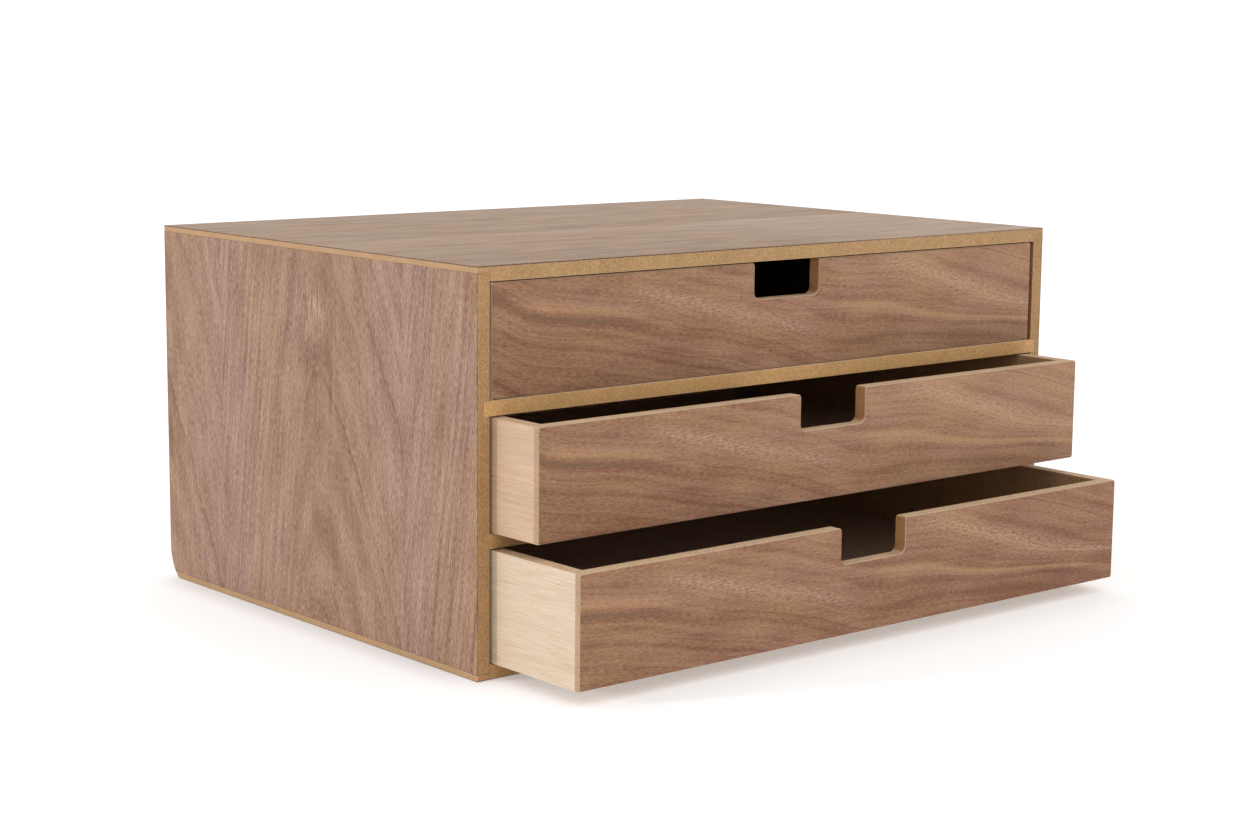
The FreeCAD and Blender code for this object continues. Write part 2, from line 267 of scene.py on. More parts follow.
# %% [markdown]
# ## Grain, tones and bumps
# A leaf of veneer is grain in layers, some as fine as a pore and some as wide as a hand. A picture of a
# leaf could be wrapped round each board, but it would repeat, and stop at its edges. Noise has no
# edges, and it can be stretched to the length and width of each layer. The next helpers draw stretched
# noise, mix two tones by it, and press it into the surface as bumps.

# %% Draw grain
# One layer of grain: the length and width of its patches in millimetres, its own seed and its detail
Grain = namedtuple("Grain", "length width seed detail", defaults=(0.0, 2.0))
NOISE_MIDDLE = 0.5


def clouds(tree, along, across, grain, seed=0.0):
    """Soft noise, stretched to patches of about the length and width of the grain."""
    place = tree.nodes.new("ShaderNodeCombineXYZ")
    plug(tree, sums(tree, "DIVIDE", along, grain.length), place.inputs["X"])
    plug(tree, sums(tree, "DIVIDE", across, grain.width), place.inputs["Y"])
    place.inputs["Z"].default_value = seed + grain.seed
    noise = tree.nodes.new("ShaderNodeTexNoise")
    noise.inputs["Scale"].default_value = 1.0
    noise.inputs["Detail"].default_value = grain.detail
    tree.links.new(place.outputs["Vector"], noise.inputs["Vector"])
    return noise.outputs[0]


def lines(tree, across, width, seed, detail):
    """Noise that changes in one direction only, so that it draws lines of about that width."""
    noise = tree.nodes.new("ShaderNodeTexNoise")
    noise.noise_dimensions = "1D"
    noise.inputs["Scale"].default_value = 1.0 / width
    noise.inputs["Detail"].default_value = detail
    plug(tree, sums(tree, "ADD", across, seed * width), noise.inputs["W"])
    return noise.outputs[0]


def centred(tree, noise, strength, base):
    """Adds noise to a base value, so that the noise's middle leaves the base as it is."""
    return sums(tree, "MULTIPLY_ADD", sums(tree, "SUBTRACT", noise, NOISE_MIDDLE), strength, base)


print("a layer of grain has", Grain._fields)

# %% Mix tones and press bumps
# The sockets of a Mix node that mixes colours
MIX_SHARE, MIX_FIRST, MIX_SECOND, MIX_RESULT = 0, 6, 7, 2


def tone(red, green, blue):
    """A colour as read off a screen, from 0 to 255, as the linear numbers that a shader wants."""
    shares = [value / 255 for value in (red, green, blue)]
    linear = [s / 12.92 if s <= 0.04045 else ((s + 0.055) / 1.055) ** 2.4 for s in shares]
    return (*linear, 1.0)


def tones(tree, share, first, second):
    """Two colours, mixed by the share of the second."""
    mix = tree.nodes.new("ShaderNodeMix")
    mix.data_type = "RGBA"
    plug(tree, share, mix.inputs[MIX_SHARE])
    plug(tree, first, mix.inputs[MIX_FIRST])
    plug(tree, second, mix.inputs[MIX_SECOND])
    return mix.outputs[MIX_RESULT]


def roughen(tree, shader, height, depth, strength):
    """Turns a height into bumps that are depth metres deep."""
    bump = tree.nodes.new("ShaderNodeBump")
    bump.inputs["Distance"].default_value = depth
    bump.inputs["Strength"].default_value = strength
    plug(tree, height, bump.inputs["Height"])
    plug(tree, bump.outputs["Normal"], shader.inputs["Normal"])


print("mid grey on a screen is", tone(128, 128, 128)[0], "in a shader")

# %% [markdown]
# ## Walnut
# Walnut leaf shows several things at once: growth rings cut by the knife into soft bands and thin dark
# lines that fade out on one side, patches where the brown leans to rose or to gold, fibres that run
# along the board, and open pores like pencil ticks. The rings need a formula for each leaf, because
# they follow how the log was cut. The rest is the same on every leaf. It could be wired anew for each,
# but one helper, which finishes a leaf once its rings are known, keeps the leaves of one kind. It works
# with a shade from 0, dark, to 1, pale, and colours it last.

# %% Draw growth lines
LINE_START = (-0.05, 0.0)
LINE_FADE = (0.0, 0.25)
LINE_SEED = 9.1
LULL = Grain(120.0, 28.0, seed=3.0, detail=1.0)
LULL_EDGE = (0.3, 0.6)
LULL_STRENGTH = (0.25, 1.0)


def growth_lines(tree, ring, gap, seed):
    """Dark lines at uneven gaps. Each starts sharply, fades out on one side, and has its own strength."""
    cells = tree.nodes.new("ShaderNodeTexVoronoi")
    cells.voronoi_dimensions = "1D"
    cells.inputs["Scale"].default_value = 1.0
    spot = sums(tree, "ADD", sums(tree, "DIVIDE", ring, gap), seed)
    plug(tree, spot, cells.inputs["W"])
    past_line = sums(tree, "SUBTRACT", spot, cells.outputs["W"])
    start = grade(tree, past_line, *LINE_START)
    fade = grade(tree, past_line, *LINE_FADE, 1.0, 0.0)
    strength = tree.nodes.new("ShaderNodeSeparateColor")
    tree.links.new(cells.outputs["Color"], strength.inputs["Color"])
    return sums(tree, "MULTIPLY", sums(tree, "MULTIPLY", start, fade), strength.outputs["Red"])


def broken_lines(tree, along, across, ring, gap, seed):
    """Growth lines that weaken here and there on their way along the leaf."""
    dark = growth_lines(tree, ring, gap, seed + LINE_SEED)
    lull = clouds(tree, along, across, LULL, seed)
    return sums(tree, "MULTIPLY", dark, grade(tree, lull, *LULL_EDGE, *LULL_STRENGTH))


print("growth lines fade over", LINE_FADE[1], "of their gap")

# %% Colour walnut
PATCHES = Grain(110.0, 22.0, seed=7.0)
PATCH_STRENGTH = 2.6
PORE = tone(78, 48, 34)
PORE_SHARE = 0.38


def colour_walnut(tree, along, across, seed, leaf_tones, shade, rosy, pore):
    """Colours a shade in patches that lean to rose or to gold, and darkens the pores."""
    patches = clouds(tree, along, across, PATCHES, seed)
    rose_share = grade(tree, centred(tree, patches, PATCH_STRENGTH, rosy), 0.0, 1.0)
    rose = tones(tree, shade, *leaf_tones["rose"])
    gold = tones(tree, shade, *leaf_tones["gold"])
    wood = tones(tree, rose_share, gold, rose)
    return tones(tree, sums(tree, "MULTIPLY", pore, PORE_SHARE), wood, PORE)


print("pores darken the wood by", PORE_SHARE)

# %% Make the walnut finish
WANDER = Grain(45.0, 9.0, seed=5.0)
RING_WANDER_SHARE = 0.3
FIBRE_WANDER = 3.0
BAND_SHARE = 0.8
BAND_DETAIL = 4.0
STREAK_LENGTH = 90.0
STREAK_DETAIL = 3.0
STREAK_EDGE = (0.3, 0.7)
BLOTCHES = Grain(42.0, 15.0, seed=1.0)
FUZZ = Grain(3.6, 1.0, seed=6.0, detail=3.0)
TICKS = Grain(3.4, 0.45, seed=2.0, detail=1.0)
TICK_EDGE = (0.56, 0.72)
MIDDLE_SHADE = 0.52
SATIN = (0.62, 0.5)
PORE_RELIEF = -0.8
STREAK_RELIEF = 0.5
RELIEF_DEPTH = 0.00012


def finish_walnut(tree, shader, along, across, ring, gap, seed, leaf_tones, figure, rosy, lift):
    """Draws walnut whose fibres run along, and whose growth rings lie where the ring value is level.

    figure holds how strongly each part of the figure shows, how wide the streaks are and how much
    relief they have. lift makes places paler or darker. The colour is returned for the leaf's own
    touches, and the leaf plugs it in.
    """
    wander = clouds(tree, along, across, WANDER, seed)
    ring = centred(tree, wander, gap * RING_WANDER_SHARE, ring)
    fibre = centred(tree, wander, FIBRE_WANDER, across)
    streak = Grain(STREAK_LENGTH, figure["streak_width"], detail=STREAK_DETAIL)
    layers = {
        "bands": lines(tree, ring, gap * BAND_SHARE, seed, BAND_DETAIL),
        "streaks": clouds(tree, along, fibre, streak, seed),
        "blotches": clouds(tree, along, across, BLOTCHES, seed),
        "fuzz": clouds(tree, along, fibre, FUZZ, seed),
    }
    shade = sums(tree, "ADD", lift, MIDDLE_SHADE)
    for layer, noise in layers.items():
        shade = centred(tree, noise, figure[layer], shade)
    dark = broken_lines(tree, along, across, ring, gap, seed)
    shade = sums(tree, "SUBTRACT", shade, sums(tree, "MULTIPLY", dark, figure["lines"]))
    shade = grade(tree, shade, 0.0, 1.0)
    pore = grade(tree, clouds(tree, along, fibre, TICKS, seed), *TICK_EDGE)
    plug(tree, grade(tree, layers["streaks"], *STREAK_EDGE, *SATIN), shader.inputs["Roughness"])
    relief = sums(tree, "MULTIPLY", layers["streaks"], STREAK_RELIEF)
    relief = sums(tree, "MULTIPLY_ADD", pore, PORE_RELIEF, relief)
    roughen(tree, shader, relief, RELIEF_DEPTH, figure["relief"])
    return colour_walnut(tree, along, across, seed, leaf_tones, shade, rosy, pore)


print("walnut relief is", RELIEF_DEPTH * MILLIMETRES, "mm deep")

# %% [markdown]
# ## The drawer fronts
# The three front leaves were cut one after another from the same flitch, so the same figure comes
# back on each, slipped a little to the left on every lower drawer. Its rings run down to the right,
# steeply at the very left, with landings in them: two gentle ones on the left half, one beside the
# finger notch, and a long one low on the right, where the rings crowd together. Rings could be bent by
# warping a picture, but a fall with a few smooth steps taken off it can be set step by step.

# %% Bend the rings of a front
FRONT_FALL = 0.27
# Steps in the rings: where along the leaf they begin and end, and by how much they hold the rings up
LANDINGS = [(-20.0, 210.0, 11.4), (30.0, 100.0, 4.0), (258.0, 345.0, 12.0)]
STEEP_LEFT_END = (0.0, 28.0, 5.0)
LOW_LANDING = (280.0, 464.0, 25.0)
LOW_PART = (35.0, 60.0)
FRONT_DRIFT = Grain(95.0, 42.0, seed=3.0)
FRONT_DRIFT_REACH = 10.0


def take_steps(tree, value, along, steps):
    """Lowers a value along the leaf by smooth steps."""
    for begin, end, drop in steps:
        value = sums(tree, "SUBTRACT", value, grade(tree, along, begin, end, 0.0, drop))
    return value


def front_rings(tree, along, down):
    """The ring value of a front leaf, which falls to the right over its landings."""
    fall = take_steps(tree, sums(tree, "MULTIPLY", along, FRONT_FALL), along, LANDINGS)
    begin, end, drop = STEEP_LEFT_END
    fall = sums(tree, "SUBTRACT", fall, grade(tree, along, begin, end, drop, 0.0))
    begin, end, drop = LOW_LANDING
    landing = grade(tree, along, begin, end, 0.0, drop)
    landing = sums(tree, "MULTIPLY", landing, grade(tree, down, *LOW_PART))
    ring = sums(tree, "SUBTRACT", down, sums(tree, "SUBTRACT", fall, landing))
    return centred(tree, clouds(tree, along, down, FRONT_DRIFT), FRONT_DRIFT_REACH, ring)


print("rings of the fronts fall by", FRONT_FALL, "with", len(LANDINGS) + 1, "landings")

# %% [markdown]
# ## Lines and flecks on the fronts
# Some growth lines stand out: dark ones, golden ones, and an ashen one at the left. They could be drawn
# as curves on the leaf. But each follows a ring, so it is drawn where the ring value comes near that
# ring, and it runs in and dies out along the leaf. Bands of short pale flecks follow two rings as well,
# where the knife met a ripple in the grain. The flecks themselves rise a little to the right. The
# fibres lie nearly level across the falling rings, and dip at both ends of the leaf.

# %% Draw lines, flecks and fibres
# A line that stands out: its ring, its reach, its strength, and where along the leaf it begins and ends
Line = namedtuple("Line", "ring reach strength begin end")
# How a line runs in around its beginning, and dies out around its end
RUN_IN = (-20.0, 15.0)
DIE_OUT = (-15.0, 30.0)
FLECK_BANDS = [Line(-7.0, 10.0, 1.0, 110.0, 250.0), Line(-55.0, 13.0, 1.0, 320.0, 500.0)]
FLECK_RISE = 0.08
FLECK_STROKES = Grain(4.2, 0.75, seed=8.0)
FLECK_EDGE = (0.38, 0.66)
FLECK_SHARE = (0.0, 0.45)
FIBRE_FALL = 0.05
FIBRE_DIPS = [(0.0, 50.0, 5.0), (400.0, 490.0, 11.0)]


def near(tree, value, middle, reach):
    """One where the value is at the middle, falling smoothly to zero at the reach on either side."""
    off = sums(tree, "ABSOLUTE", sums(tree, "SUBTRACT", value, middle))
    return grade(tree, off, 0.0, reach, 1.0, 0.0)


def add_lines(tree, base, ring, along, drawn):
    """Adds soft lines to a base value."""
    for line in drawn:
        run_in = grade(tree, along, line.begin + RUN_IN[0], line.begin + RUN_IN[1])
        die_out = grade(tree, along, line.end + DIE_OUT[0], line.end + DIE_OUT[1], line.strength, 0.0)
        stroke = sums(tree, "MULTIPLY", near(tree, ring, line.ring, line.reach), run_in)
        base = sums(tree, "MULTIPLY_ADD", stroke, die_out, base)
    return base


def front_flecks(tree, along, down, ring):
    """The share of pale flecks, in bands that follow the rings."""
    in_band = add_lines(tree, 0.0, ring, along, FLECK_BANDS)
    rising = sums(tree, "MULTIPLY_ADD", along, FLECK_RISE, down)
    strokes = clouds(tree, along, rising, FLECK_STROKES)
    return sums(tree, "MULTIPLY", in_band, grade(tree, strokes, *FLECK_EDGE, *FLECK_SHARE))


def front_fibres(tree, along, down):
    """Counts the fibres of a front leaf from its upper edge."""
    slanted = sums(tree, "MULTIPLY_ADD", along, -FIBRE_FALL, down)
    return take_steps(tree, slanted, along, FIBRE_DIPS)


print(len(FLECK_BANDS), "bands of flecks that rise by", FLECK_RISE)

# %% [markdown]
# ## Finishing the fronts
# Now the parts of a front come together. The wood is paler towards the upper rings. To the right the
# bottom drawer gets darker, partly in its tone and partly as painted shade, and the middle one a little
# paler. Golden lines also turn the wood from rose to gold. The three leaves share one recipe and differ
# in their slip, so a loop finishes them, where three materials made by hand would drift apart. Sanding
# has paled the leaf's outer edge all round, and a painted highlight on that edge adds the light it
# catches. That edge could be a material of its own, but it is told well enough by its faces, which no
# longer look straight to the front.

# %% See where faces look and dress a board
def facing(tree, axis):
    """How squarely a face looks along the axis, from 0 for edge-on to 1."""
    face = tree.nodes.new("ShaderNodeNewGeometry")
    apart = tree.nodes.new("ShaderNodeSeparateXYZ")
    tree.links.new(face.outputs["True Normal"], apart.inputs["Vector"])
    return sums(tree, "ABSOLUTE", apart.outputs[axis])


def dress(board, *finishes):
    """Gives a board its finish, and a second one for its rubbed edges where it has one."""
    board.data.materials.clear()
    for finish in finishes:
        board.data.materials.append(finish)


print("ready to dress", len(boards), "boards")

# %% Finish the drawer fronts
FRONT_TONES = {
    "rose": (tone(112, 62, 38), tone(171, 130, 102)),
    "gold": (tone(112, 64, 34), tone(174, 133, 93)),
}
FRONT_FIGURE = {
    "bands": 0.68, "lines": 0.2, "streaks": 0.25, "streak_width": 1.7, "blotches": 0.45, "fuzz": 0.85,
    "relief": 0.6,
}
FRONT_RING_GAP = 9.0
FRONT_SEED = 4.0
DARK_LINES = [
    Line(16.0, 4.5, -0.18, -20.0, 140.0),
    Line(-18.0, 3.5, -0.28, 260.0, 490.0),
    Line(-6.0, 3.0, -0.15, 250.0, 470.0),
    Line(-64.0, 5.0, -0.16, 370.0, 500.0),
]
GOLDEN_LINES = [Line(8.0, 6.0, 0.26, 25.0, 115.0), Line(-28.0, 7.0, 0.18, 275.0, 480.0)]
GOLDEN_TURN = -2.5
EVEN_ROSY = 0.5
ASHEN_LINES = [Line(14.5, 2.0, 0.55, 10.0, 90.0)]
ASHEN = tone(102, 76, 50)
FLECK = tone(190, 157, 131)
FLECK_LIFT = 0.5
PALER_UPWARDS = -0.0015
SLIPS = {"top": 0.0, "middle": 20.0, "bottom": 44.0}
# How much darker each leaf gets to the right, or paler below zero, and from where to where; on the
# bottom leaf the darkening is partly painted shade
TONE_AND_SHADE_TO_RIGHT = {"top": 0.0, "middle": -0.06, "bottom": 0.17}
LEFT_TO_RIGHT = (-200.0, 230.0)
# The leaf's eased edge: sanded paler, with a painted highlight in its colour
SANDED_EDGE_AND_HIGHLIGHT = tone(178, 140, 113)
SANDED_HIGHLIGHT_TURN = (0.6, 0.98)

for drawer, slip in SLIPS.items():
    leaf = f"{drawer}_drawer_front_veneer"
    low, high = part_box(leaf)
    material, tree, shader = new_material(f"walnut_{drawer}_front")
    x, y, z = place_in_millimetres(tree)
    along = sums(tree, "ADD", x, slip - low.x * MILLIMETRES)
    down = sums(tree, "SUBTRACT", high.z * MILLIMETRES, z)
    ring = front_rings(tree, along, down)
    fleck = front_flecks(tree, along, down, ring)
    lift = sums(tree, "MULTIPLY_ADD", ring, PALER_UPWARDS, sums(tree, "MULTIPLY", fleck, FLECK_LIFT))
    lift = sums(tree, "SUBTRACT", lift, grade(tree, x, *LEFT_TO_RIGHT, 0.0, TONE_AND_SHADE_TO_RIGHT[drawer]))
    golden = add_lines(tree, 0.0, ring, along, GOLDEN_LINES)
    lift = add_lines(tree, sums(tree, "ADD", lift, golden), ring, along, DARK_LINES)
    rosy = sums(tree, "MULTIPLY_ADD", golden, GOLDEN_TURN, EVEN_ROSY)
    fibres = front_fibres(tree, along, down)
    wood = finish_walnut(
        tree, shader, along, fibres, ring, FRONT_RING_GAP, FRONT_SEED,
        leaf_tones=FRONT_TONES, figure=FRONT_FIGURE, rosy=rosy, lift=lift,
    )
    wood = tones(tree, fleck, wood, FLECK)
    wood = tones(tree, add_lines(tree, 0.0, ring, along, ASHEN_LINES), wood, ASHEN)
    # Edge faces get the pale colour of sanding and a painted highlight
    on_edge = grade(tree, facing(tree, "Y"), *SANDED_HIGHLIGHT_TURN, 1.0, 0.0)
    plug(tree, tones(tree, on_edge, wood, SANDED_EDGE_AND_HIGHLIGHT), shader.inputs["Base Color"])
    dress(boards[leaf], material)
    print(leaf, "slipped by", slip, "mm")

# %% [markdown]
# ## The sides of the box
# On the sides the grain stands upright, in leaves about two hands wide, laid side by side. Each leaf
# shows a cathedral: pointed arches where the knife passed the middle of the log. Arches could be drawn
# as curves, but a height plus the distance from the leaf's axis gives them all at once. They are
# steeper behind the axis, where the grain runs straight and streaky. As they rise, the fibres lean
# forward in the back part of a leaf, and a little backward in its front part.

# %% Raise the arches of a side
LEAF_WIDTH = 205.0
SEAM_FROM_BACK = 72.0
AXIS_IN_LEAF = 113.0
ARCH_WIDTH = 22.0
AXIS_WIDTH = 12.0
BACK_FLANK = 5.5
FRONT_FLANK = 2.2
SIDE_DRIFT = Grain(120.0, 40.0, detail=1.0)
SIDE_DRIFT_REACH = 14.0
RIPPLE = Grain(26.0, 20.0, seed=0.4)
RIPPLE_REACH = 22.0
FIBRE_LEAN = (0.13, -0.04)
LEAN_CHANGES = (80.0, 150.0)
MIDDLE_HEIGHT = 118.0


def arch(tree, off_axis, width):
    """The distance from the axis, rounded over that width where it passes the axis."""
    return sums(tree, "SQRT", sums(tree, "MULTIPLY_ADD", off_axis, off_axis, width**2))


def side_rings(tree, z, from_seam, in_leaf, seed):
    """The ring value of a side leaf, level along its arches."""
    drift = clouds(tree, z, from_seam, SIDE_DRIFT, seed)
    off_axis = centred(tree, drift, SIDE_DRIFT_REACH, sums(tree, "SUBTRACT", in_leaf, AXIS_IN_LEAF))
    rippled = centred(tree, clouds(tree, z, from_seam, RIPPLE, seed), RIPPLE_REACH, z)
    reach = sums(tree, "SUBTRACT", arch(tree, off_axis, ARCH_WIDTH), ARCH_WIDTH)
    flank = grade(tree, off_axis, -AXIS_WIDTH, AXIS_WIDTH, BACK_FLANK, FRONT_FLANK)
    return sums(tree, "MULTIPLY_ADD", reach, flank, rippled)


def side_fibres(tree, z, from_seam, in_leaf):
    """Counts the fibres of a side leaf from its seam. Their lean changes across the leaf."""
    above_middle = sums(tree, "SUBTRACT", z, MIDDLE_HEIGHT)
    lean = grade(tree, in_leaf, *LEAN_CHANGES, *FIBRE_LEAN)
    return sums(tree, "SUBTRACT", from_seam, sums(tree, "MULTIPLY", above_middle, lean))


print("arches stand", AXIS_IN_LEAF, "mm into leaves of", LEAF_WIDTH, "mm")

# %% [markdown]
# ## Light and dark places on the sides
# The arches are not even. Their heart is warm and calm, and dark flames lick up through it. Above it
# stands a dusky crown with a pale eye in it, and a dark brow below the eye. Such places could be painted
# by hand on the leaf. Each is a soft patch here, with a middle and a reach, so that it can be moved.
# The eye and the flames are broken into strokes along the grain, which keeps them from looking like
# stains.

# %% Shade places on a side
# A place: where in the leaf, how far to each side, how high up, and how far up and down
HEART = (122.0, 62.0, 90.0, 130.0)
HEART_LIFT = -0.06
CROWN = (112.0, 50.0, 205.0, 60.0)
CROWN_LIFT = -0.15
EYE = (109.0, 26.0, 200.0, 26.0)
EYE_STROKES = Grain(14.0, 1.8, seed=8.0)
EYE_EDGE = (0.4, 0.65)
EYE_LIFT = 0.5
BROW = (109.0, 28.0, 168.0, 16.0)
BROW_LIFT = -0.15
FLAME = (128.0, 36.0, 120.0, 95.0)
FLAME_STROKES = Grain(48.0, 7.0, seed=11.0)
FLAME_EDGE = (0.45, 0.7)
FLAME_LIFT = -0.18


def patch(tree, across, up, place):
    """One in the middle of a place on the leaf, falling to zero around it."""
    middle, width, height, rise = place
    return sums(tree, "MULTIPLY", near(tree, across, middle, width), near(tree, up, height, rise))


def side_lift(tree, z, from_seam, in_leaf, fibres, heart, seed):
    """How much paler or darker the places on a side leaf are."""
    strokes = grade(tree, clouds(tree, z, from_seam, EYE_STROKES, seed), *EYE_EDGE)
    licks = grade(tree, clouds(tree, z, fibres, FLAME_STROKES, seed), *FLAME_EDGE)
    places = [
        (patch(tree, in_leaf, z, CROWN), CROWN_LIFT),
        (sums(tree, "MULTIPLY", patch(tree, in_leaf, z, EYE), strokes), EYE_LIFT),
        (patch(tree, in_leaf, z, BROW), BROW_LIFT),
        (sums(tree, "MULTIPLY", patch(tree, in_leaf, z, FLAME), licks), FLAME_LIFT),
    ]
    lift = sums(tree, "MULTIPLY", heart, HEART_LIFT)
    for share, strength in places:
        lift = sums(tree, "MULTIPLY_ADD", share, strength, lift)
    return lift


print("eye", EYE[2] - BROW[2], "mm above the brow")

# %% [markdown]
# ## Finishing the sides
# Beside each seam the wood is a cool mauve, and in the heart it is warm. In the back part of a leaf the
# streaks are strong and the growth lines weak, and in its front part it is the other way round. Two
# materials could meet there, but no line shows on the real leaf, so the parts of the figure are graded
# across it. Both sides have the same recipe, and a seed of their own keeps them from being copies.

# %% Finish the sides of the box
SIDE_TONES = {
    "rose": (tone(101, 57, 36), tone(166, 134, 116)),
    "gold": (tone(103, 59, 32), tone(167, 134, 107)),
}
SIDE_RING_GAP = 34.0
SIDE_SEEDS = {"left": 12.0, "right": 21.0}
# Values that change across the leaf: from where to where, and from how much to how much
MAUVE_AFTER_SEAM = (15.0, 42.0, 1.1, 0.2)
MAUVE_BEFORE_SEAM = (160.0, LEAF_WIDTH, 0.0, 0.6)
SIDE_BANDS = (90.0, 150.0, 0.32, 0.4)
SIDE_LINES = (60.0, 130.0, 0.1, 0.2)
SIDE_STREAKS = (70.0, 95.0, 0.6, 0.2)
# Values that change in the heart: by how much, and from how much elsewhere
HEART_ROSY = -0.5
HEART_BLOTCHES = (0.15, 0.45)
HEART_FUZZ = (-0.25, 1.15)
SIDE_STREAK_WIDTH = 3.2
SIDE_RELIEF = 0.6


def side_figure(tree, in_leaf, heart):
    """The figure of a side leaf, graded from its back edge to its front edge."""
    return {
        "bands": grade(tree, in_leaf, *SIDE_BANDS),
        "lines": grade(tree, in_leaf, *SIDE_LINES),
        "streaks": grade(tree, in_leaf, *SIDE_STREAKS),
        "streak_width": SIDE_STREAK_WIDTH,
        "blotches": sums(tree, "MULTIPLY_ADD", heart, *HEART_BLOTCHES),
        "fuzz": sums(tree, "MULTIPLY_ADD", heart, *HEART_FUZZ),
        "relief": SIDE_RELIEF,
    }


for side, seed in SIDE_SEEDS.items():
    leaf = f"{side}_side_veneer"
    low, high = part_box(leaf)
    material, tree, shader = new_material(f"walnut_{side}_side")
    x, y, z = place_in_millimetres(tree)
    from_seam = sums(tree, "SUBTRACT", high.y * MILLIMETRES - SEAM_FROM_BACK, y)
    in_leaf = sums(tree, "WRAP", from_seam, LEAF_WIDTH, 0.0)
    ring = side_rings(tree, z, from_seam, in_leaf, seed)
    fibres = side_fibres(tree, z, from_seam, in_leaf)
    heart = patch(tree, in_leaf, z, HEART)
    lift = side_lift(tree, z, from_seam, in_leaf, fibres, heart, seed)
    rosy = grade(tree, in_leaf, *MAUVE_AFTER_SEAM)
    rosy = sums(tree, "ADD", rosy, grade(tree, in_leaf, *MAUVE_BEFORE_SEAM))
    rosy = sums(tree, "MULTIPLY_ADD", heart, HEART_ROSY, rosy)
    wood = finish_walnut(
        tree, shader, z, fibres, ring, SIDE_RING_GAP, seed,
        leaf_tones=SIDE_TONES, figure=side_figure(tree, in_leaf, heart), rosy=rosy, lift=lift,
    )
    plug(tree, wood, shader.inputs["Base Color"])
    dress(boards[leaf], material)
    print(leaf, "in leaves of", LEAF_WIDTH, "mm")

# %% [markdown]
# ## The top
# The top's grain runs from left to right, in two leaves that meet along the middle. Its arches are so
# long that the rings look like straight streaks, so the same arch serves, only much longer. The front
# leaf is paler along the middle seam, and darker along its front edge on the left. To the right it is
# paler still, which is a painted sheen, and there it turns from rose to gold. These steps could be a
# picture painted from above, but as grades from the back edge they stay sharp at the seam.

# %% Lay the two leaves of the top
TOP_LEAF_WIDTH = 178.0
TOP_AXIS = 80.0
TOP_ARCH_WIDTH = 10.0
TOP_FLANK = 8.0
TOP_DRIFT = Grain(200.0, 40.0, seed=31.0)
TOP_DRIFT_REACH = 16.0
SEAM_SOFTNESS = 1.0
FRONT_LEAF_BEGINS = (TOP_LEAF_WIDTH - SEAM_SOFTNESS, TOP_LEAF_WIDTH + SEAM_SOFTNESS)
RIGHT_PART = (10.0, 140.0)
RIGHT_SHEEN_LIFT = 0.08
BESIDE_SEAM = 60.0
SEAM_STEP = (-0.06, 0.08)
SEAM_WIDTH = 0.8
SEAM_LIFT = -0.3
FRONT_STRIP = (265.0, 320.0)
FRONT_STRIP_LIFT = -0.08

top_finish, tree, top_shader = new_material("walnut_top")
x, y, z = place_in_millimetres(tree)
low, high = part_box("top_veneer")
from_back = sums(tree, "SUBTRACT", high.y * MILLIMETRES, y)
in_leaf = sums(tree, "WRAP", from_back, TOP_LEAF_WIDTH, 0.0)
drift = clouds(tree, x, from_back, TOP_DRIFT)
off_axis = centred(tree, drift, TOP_DRIFT_REACH, sums(tree, "SUBTRACT", in_leaf, TOP_AXIS))
ring = sums(tree, "MULTIPLY_ADD", arch(tree, off_axis, TOP_ARCH_WIDTH), TOP_FLANK, x)

right_part = grade(tree, x, *RIGHT_PART)
left_part = sums(tree, "SUBTRACT", 1.0, right_part)
# The front leaf's right part, made paler by a painted sheen
sheen_front_right = sums(tree, "MULTIPLY", grade(tree, from_back, *FRONT_LEAF_BEGINS), right_part)
beside_seam = near(tree, from_back, TOP_LEAF_WIDTH, BESIDE_SEAM)
strip = sums(tree, "MULTIPLY", grade(tree, from_back, *FRONT_STRIP), left_part)
lift = sums(tree, "MULTIPLY", beside_seam, grade(tree, from_back, *FRONT_LEAF_BEGINS, *SEAM_STEP))
lift = sums(tree, "MULTIPLY_ADD", sheen_front_right, RIGHT_SHEEN_LIFT, lift)
lift = sums(tree, "MULTIPLY_ADD", near(tree, from_back, TOP_LEAF_WIDTH, SEAM_WIDTH), SEAM_LIFT, lift)
lift = sums(tree, "MULTIPLY_ADD", strip, FRONT_STRIP_LIFT, lift)
print("seam of the top", TOP_LEAF_WIDTH, "mm from its back edge")

# %% [markdown]
# ## Finishing the top
# The top's rings are wide and faint, and its relief is low, so that it looks smooth from the side. Where
# the saw trimmed the top, the leaf's edge shows as a dark dotted line that fades to the right. It could
# be a thin strip of its own, but the eased edge is there already and only needs a darker tone.

# %% Finish the top
TOP_TONES = {
    "rose": (tone(106, 68, 30), tone(179, 147, 113)),
    "gold": (tone(107, 71, 36), tone(178, 150, 125)),
}
TOP_FIGURE = {
    "bands": 0.28, "lines": 0.05, "streaks": 0.22, "streak_width": 2.6, "blotches": 0.45, "fuzz": 0.6,
    "relief": 0.3,
}
TOP_RING_GAP = 110.0
TOP_SEED = 33.0
ROSY_FROM_BACK = (20.0, 60.0, 0.0, 0.7)
TRIMMED_EDGE = tone(84, 50, 34)
TRIMMED_TURN = (0.5, 0.9)
DOTS = Grain(2.5, 2.5, seed=5.0)
DOT_EDGE = (0.35, 0.6, 0.45, 1.0)
DOTS_FADE = (-100.0, 180.0, 1.0, 0.35)

